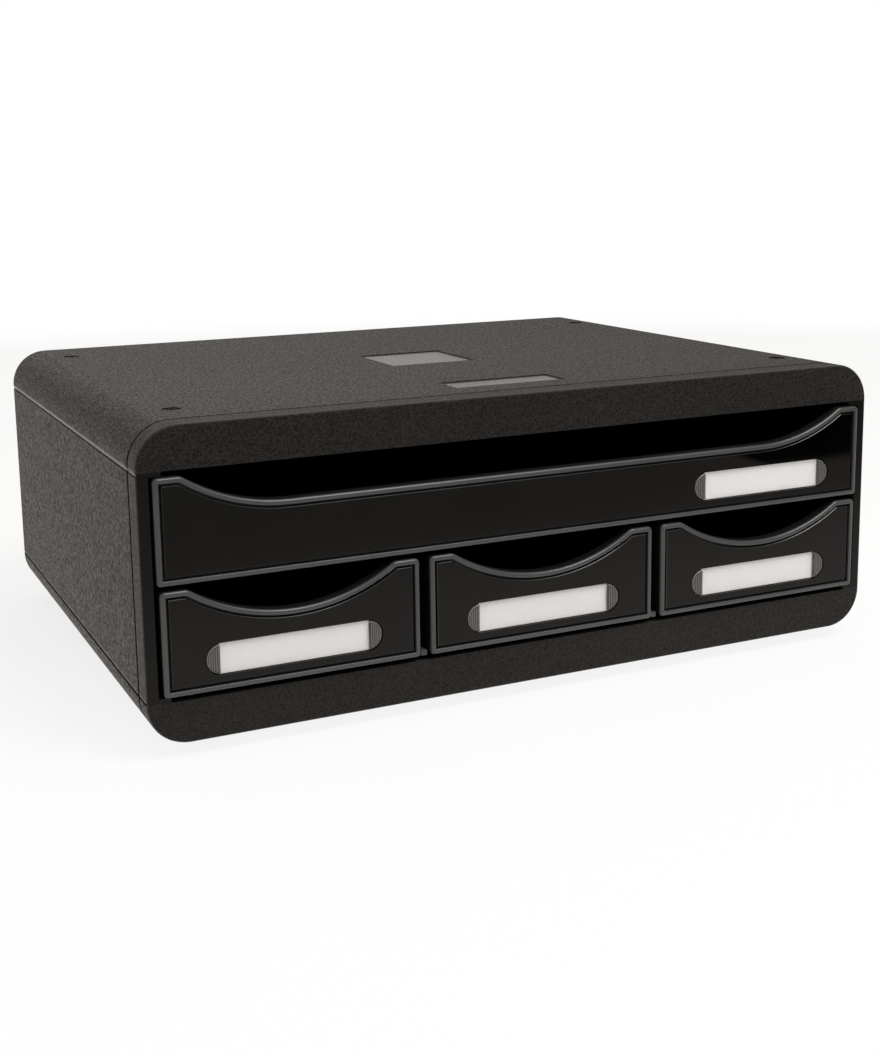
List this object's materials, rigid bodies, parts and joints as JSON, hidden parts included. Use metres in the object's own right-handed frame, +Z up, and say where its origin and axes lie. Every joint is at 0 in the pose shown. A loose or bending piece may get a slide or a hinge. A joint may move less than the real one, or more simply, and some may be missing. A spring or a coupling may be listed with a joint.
{
  "type": "desk drawer unit",
  "caption": "Low desk organizer: charcoal casing with rounded covers, a wide drawer over a row of small drawers, scooped fronts to pull and label windows.",
  "frame": {"origin": "on the table, under the middle of the unit's box", "axes": "+X to the right of someone facing the drawers, +Y to the back, +Z up; the drawers open towards -Y"},
  "size_m": [0.355, 0.27, 0.135],
  "materials": {
    "casing_plastic": "fine grain, matt charcoal",
    "drawer_plastic": "gloss black panel, satin rim",
    "clear_window": "clear, gloss",
    "label_card": "white, matt",
    "foot_rubber": "matt black",
    "dark_screw": "black, satin"
  },
  "bodies": {
    "casing": {"top_cover": "casing_plastic", "bottom_cover": "casing_plastic", "left_side_panel": "casing_plastic", "right_side_panel": "casing_plastic", "back_panel": "casing_plastic", "middle_shelf": "casing_plastic", "left_divider": "casing_plastic", "right_divider": "casing_plastic", "cover_screws": "dark_screw", "base_screws": "dark_screw", "front_left_foot": "foot_rubber", "front_right_foot": "foot_rubber", "rear_left_foot": "foot_rubber", "rear_right_foot": "foot_rubber"},
    "wide_drawer": {"wide_drawer": "drawer_plastic", "wide_label_window": "clear_window", "wide_label_card": "label_card"},
    "left_small_drawer": {"left_small_drawer": "drawer_plastic", "left_label_window": "clear_window", "left_label_card": "label_card"},
    "middle_small_drawer": {"middle_small_drawer": "drawer_plastic", "middle_label_window": "clear_window", "middle_label_card": "label_card"},
    "right_small_drawer": {"right_small_drawer": "drawer_plastic", "right_label_window": "clear_window", "right_label_card": "label_card"}
  },
  "joints": [
    {"name": "wide_drawer_slide", "type": "slide", "parent": "casing", "child": "wide_drawer", "axis": [0, -1, 0], "range_m": [0, 0.202]},
    {"name": "left_small_drawer_slide", "type": "slide", "parent": "casing", "child": "left_small_drawer", "axis": [0, -1, 0], "range_m": [0, 0.202]},
    {"name": "middle_small_drawer_slide", "type": "slide", "parent": "casing", "child": "middle_small_drawer", "axis": [0, -1, 0], "range_m": [0, 0.202]},
    {"name": "right_small_drawer_slide", "type": "slide", "parent": "casing", "child": "right_small_drawer", "axis": [0, -1, 0], "range_m": [0, 0.202]}
  ]
}
